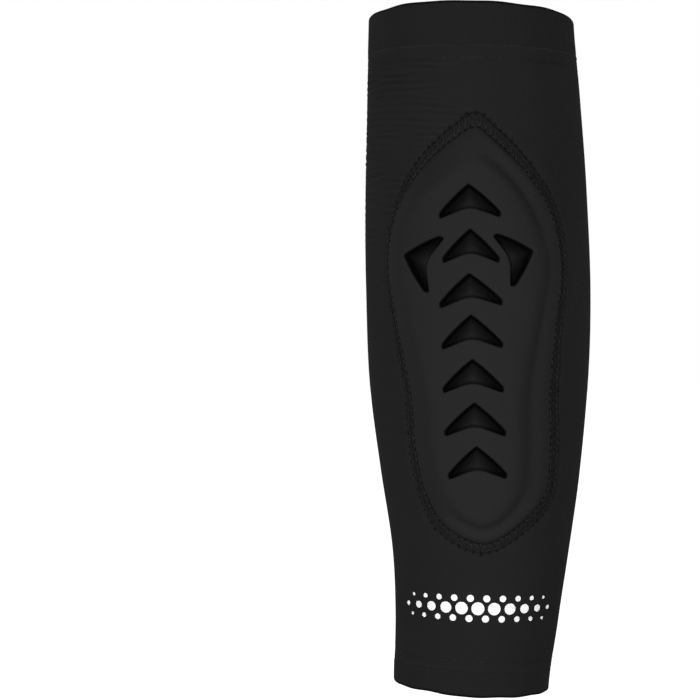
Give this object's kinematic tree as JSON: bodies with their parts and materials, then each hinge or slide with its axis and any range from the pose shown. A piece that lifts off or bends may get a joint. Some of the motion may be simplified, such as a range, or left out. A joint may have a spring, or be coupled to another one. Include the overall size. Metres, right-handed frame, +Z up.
{
  "type": "padded forearm sleeve",
  "caption": "Tapered stretch-knit forearm sleeve, open at both ends with folded bands, and a leaf-shaped foam pad with arrow recesses sewn on its front to cushion knocks.",
  "frame": {"origin": "on the forearm's axis, halfway between the elbow rim and the wrist rim", "axes": "+Z up the forearm towards the elbow, -Y out of the padded front, +X to the right as the pad is looked at"},
  "size_m": [0.0842, 0.0828, 0.2529],
  "materials": {
    "knit": "black fine-rib stretch knit, matt with a faint sheen at grazing angles",
    "folded_knit": "the same black knit folded double, with a row of topstitching beside its seam",
    "foam": "black closed-cell foam moulded under a smooth matt fabric skin, edge oversewn in black zigzag thread"
  },
  "bodies": {
    "root": {"sleeve_tube": "knit", "elbow_band": "folded_knit", "wrist_band": "folded_knit", "forearm_pad": "foam"}
  },
  "joints": []
}
